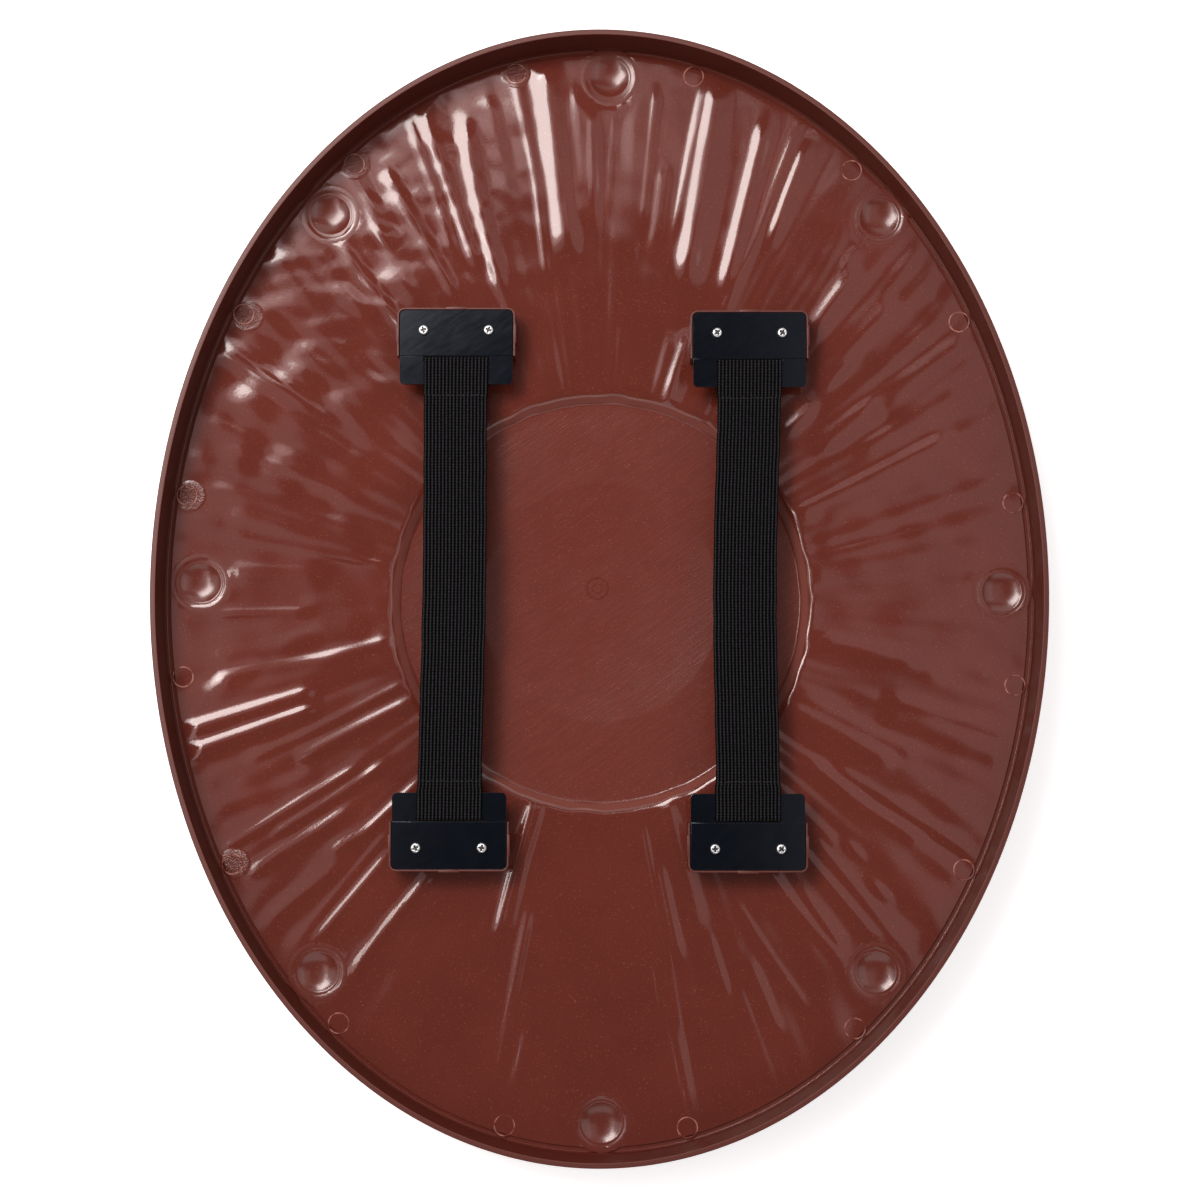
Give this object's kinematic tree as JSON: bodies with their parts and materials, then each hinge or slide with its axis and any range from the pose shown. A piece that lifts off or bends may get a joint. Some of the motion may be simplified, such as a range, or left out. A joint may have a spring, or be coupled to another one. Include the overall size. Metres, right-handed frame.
{
  "type": "costume roman shield",
  "caption": "Oval costume roman shield in fluted brown moulded plastic with a round boss, domed studs and a raised rim, carried by elastic arm straps on black anchor plates.",
  "frame": {"origin": "on the floor under the middle of the oval, with the shield resting on its front, at the middle of the bounding box's underside", "axes": "+Z out of the shield's back, +Y towards its top along the long axis, +X across it to the right as seen from the back"},
  "size_m": [0.48, 0.6096, 0.0425],
  "materials": {
    "brown_plastic": "gloss",
    "black_plastic": "satin",
    "black_elastic": "ribbed webbing",
    "bright_steel": "bright zinc"
  },
  "bodies": {
    "root": {"shield_shell": "brown_plastic", "anchor_plate_upper_left": "black_plastic", "anchor_plate_upper_right": "black_plastic", "anchor_plate_lower_left": "black_plastic", "anchor_plate_lower_right": "black_plastic", "screw_upper_left_west": "bright_steel", "screw_upper_left_east": "bright_steel", "screw_upper_right_west": "bright_steel", "screw_upper_right_east": "bright_steel", "screw_lower_left_west": "bright_steel", "screw_lower_left_east": "bright_steel", "screw_lower_right_west": "bright_steel", "screw_lower_right_east": "bright_steel", "strap_left": "black_elastic", "strap_right": "black_elastic"}
  },
  "joints": []
}
